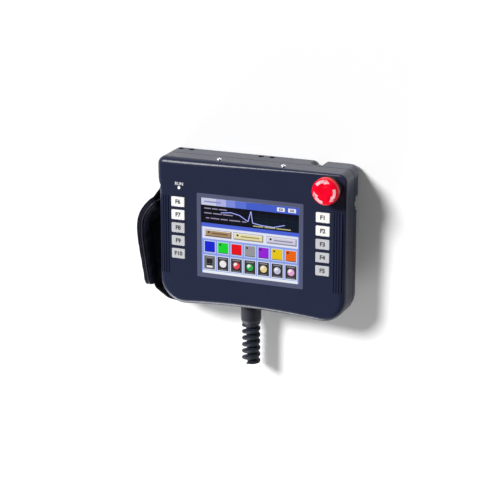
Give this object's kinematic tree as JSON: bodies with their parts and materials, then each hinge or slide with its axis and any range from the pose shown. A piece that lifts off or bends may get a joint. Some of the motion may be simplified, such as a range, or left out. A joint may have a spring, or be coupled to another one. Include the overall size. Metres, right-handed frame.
{
  "type": "handheld operator terminal",
  "caption": "Handheld operator terminal with a touch screen between two columns of function keys, a red emergency stop, a padded hand strap and a ribbed cable boot.",
  "frame": {"origin": "on the plane the terminal lies on, below the centre of the screen", "axes": "+X to the terminal's right, +Y to its top edge, +Z the way the screen looks"},
  "size_m": [0.2513, 0.2378, 0.0697],
  "materials": {
    "housing_plastic": "fine moulded texture",
    "seal_rubber": "matte",
    "screw_steel": "zinc plated",
    "bright_screws": "bright nickel",
    "frame_plastic": "satin print",
    "panel_film": "satin film",
    "display_metal": "plain sheet",
    "board_laminate": "solder mask",
    "connector_plastic": "moulded",
    "key_white": "satin",
    "key_grey": "satin",
    "lamp_lens": "clear dome",
    "stop_red": "polished",
    "spring_steel": "plain wire",
    "collar_plastic": "moulded",
    "bar_plastic": "moulded",
    "pad_fabric": "woven",
    "strap_webbing": "woven webbing",
    "boot_rubber": "matte moulded"
  },
  "bodies": {
    "housing": {"backup_cell": "display_metal", "board_screws": "screw_steel", "board_spacers": "screw_steel", "buzzer": "connector_plastic", "cable_header": "connector_plastic", "case_screws": "screw_steel", "corner_housing": "housing_plastic", "corner_screws": "screw_steel", "display_module": "display_metal", "display_screws": "screw_steel", "enable_switch": "connector_plastic", "estop_barrel": "collar_plastic", "estop_contacts": "connector_plastic", "estop_gasket": "seal_rubber", "estop_ring_nut": "display_metal", "estop_spring": "spring_steel", "front_housing": "housing_plastic", "gland_nut": "display_metal", "housing_gasket": "seal_rubber", "key_board_left": "board_laminate", "key_board_right": "board_laminate", "key_board_screws": "screw_steel", "key_switches_left": "connector_plastic", "key_switches_right": "connector_plastic", "main_board": "board_laminate", "rear_housing": "housing_plastic", "run_lamp": "lamp_lens", "strain_relief": "boot_rubber", "strap_lower_tail": "strap_webbing", "strap_pad": "pad_fabric", "strap_pins": "bright_screws", "strap_upper_tail": "strap_webbing", "top_screws": "bright_screws", "touch_panel": "panel_film", "window_frame": "frame_plastic"},
    "key_f1_body": {"key_f1": "key_white"},
    "key_f2_body": {"key_f2": "key_white"},
    "key_f3_body": {"key_f3": "key_grey"},
    "key_f4_body": {"key_f4": "key_grey"},
    "key_f5_body": {"key_f5": "key_grey"},
    "key_f6_body": {"key_f6": "key_white"},
    "key_f7_body": {"key_f7": "key_white"},
    "key_f8_body": {"key_f8": "key_grey"},
    "key_f9_body": {"key_f9": "key_grey"},
    "key_f10_body": {"key_f10": "key_grey"},
    "stop_plunger": {"estop_shaft": "display_metal"},
    "stop_knob": {"estop_head": "stop_red"},
    "grip_switch": {"enable_bar": "bar_plastic"}
  },
  "joints": [
    {"name": "key_f1_press", "type": "slide", "parent": "housing", "child": "key_f1_body", "axis": [0, 0, -1], "range_m": [0, 0.0008], "stiffness_N_per_m": 800, "springref_m": -0.0005},
    {"name": "key_f2_press", "type": "slide", "parent": "housing", "child": "key_f2_body", "axis": [0, 0, -1], "range_m": [0, 0.0008], "stiffness_N_per_m": 800, "springref_m": -0.0005},
    {"name": "key_f3_press", "type": "slide", "parent": "housing", "child": "key_f3_body", "axis": [0, 0, -1], "range_m": [0, 0.0008], "stiffness_N_per_m": 800, "springref_m": -0.0005},
    {"name": "key_f4_press", "type": "slide", "parent": "housing", "child": "key_f4_body", "axis": [0, 0, -1], "range_m": [0, 0.0008], "stiffness_N_per_m": 800, "springref_m": -0.0005},
    {"name": "key_f5_press", "type": "slide", "parent": "housing", "child": "key_f5_body", "axis": [0, 0, -1], "range_m": [0, 0.0008], "stiffness_N_per_m": 800, "springref_m": -0.0005},
    {"name": "key_f6_press", "type": "slide", "parent": "housing", "child": "key_f6_body", "axis": [0, 0, -1], "range_m": [0, 0.0008], "stiffness_N_per_m": 800, "springref_m": -0.0005},
    {"name": "key_f7_press", "type": "slide", "parent": "housing", "child": "key_f7_body", "axis": [0, 0, -1], "range_m": [0, 0.0008], "stiffness_N_per_m": 800, "springref_m": -0.0005},
    {"name": "key_f8_press", "type": "slide", "parent": "housing", "child": "key_f8_body", "axis": [0, 0, -1], "range_m": [0, 0.0008], "stiffness_N_per_m": 800, "springref_m": -0.0005},
    {"name": "key_f9_press", "type": "slide", "parent": "housing", "child": "key_f9_body", "axis": [0, 0, -1], "range_m": [0, 0.0008], "stiffness_N_per_m": 800, "springref_m": -0.0005},
    {"name": "key_f10_press", "type": "slide", "parent": "housing", "child": "key_f10_body", "axis": [0, 0, -1], "range_m": [0, 0.0008], "stiffness_N_per_m": 800, "springref_m": -0.0005},
    {"name": "stop_push", "type": "slide", "parent": "housing", "child": "stop_plunger", "axis": [0, 0, -1], "range_m": [0, 0.004], "stiffness_N_per_m": 2000, "springref_m": -0.001, "deforming": ["estop_spring"]},
    {"name": "stop_twist", "type": "hinge", "parent": "stop_plunger", "child": "stop_knob", "pos_m": [0.0925, 0.069, 0.06], "axis": [0, 0, -1], "range_deg": [0, 40], "stiffness_Nm_per_rad": 0.02, "springref_deg": -2.86},
    {"name": "grip_squeeze", "type": "slide", "parent": "housing", "child": "grip_switch", "axis": [0, 0, 1], "range_m": [0, 0.004], "stiffness_N_per_m": 1500, "springref_m": -0.001}
  ]
}
